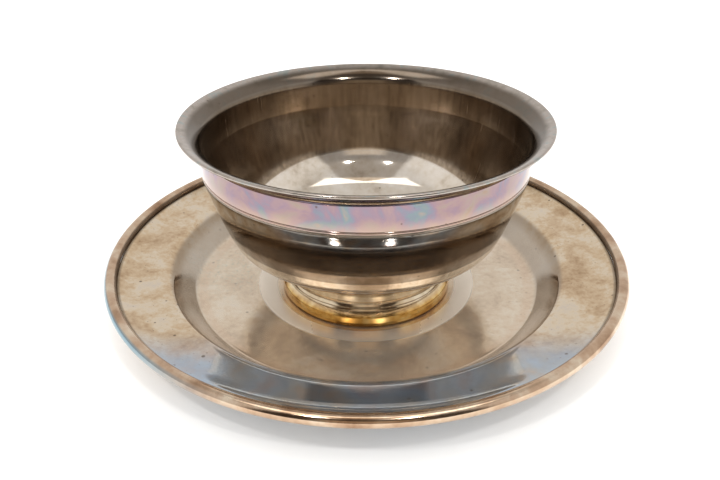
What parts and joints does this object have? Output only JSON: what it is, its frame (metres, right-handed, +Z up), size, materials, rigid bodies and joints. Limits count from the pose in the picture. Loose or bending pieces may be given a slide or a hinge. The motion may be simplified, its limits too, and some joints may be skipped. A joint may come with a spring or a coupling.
{
  "type": "sauce bowl with fixed under-plate",
  "caption": "Round silver-plated sauce bowl with a flared lip on a low spool foot, fixed in the middle of a round under-plate with a deep well and a rounded border.",
  "frame": {"origin": "centre of the flat face under the plate's seat, on the table", "axes": "+Z up along the axis of the bowl and the plate; all pieces are turned shapes, so X and Y are any two level directions"},
  "size_m": [0.17, 0.17, 0.0609],
  "materials": {
    "under_plate": "worn silver plate with warm tarnish, fine pits and soft polish marks",
    "border_wire": "silver plate rubbed thin, warm copper brown",
    "foot": "polished silver plate with yellow tarnish where a cloth can't reach",
    "solder": "dull soft solder",
    "bowl": "polished silver plate with lilac and blue tarnish on the upper band"
  },
  "bodies": {
    "root": {"under_plate": "under_plate", "border_wire": "border_wire", "foot": "foot", "foot_solder_seam": "solder", "neck_solder_seam": "solder", "bowl": "bowl"}
  },
  "joints": []
}
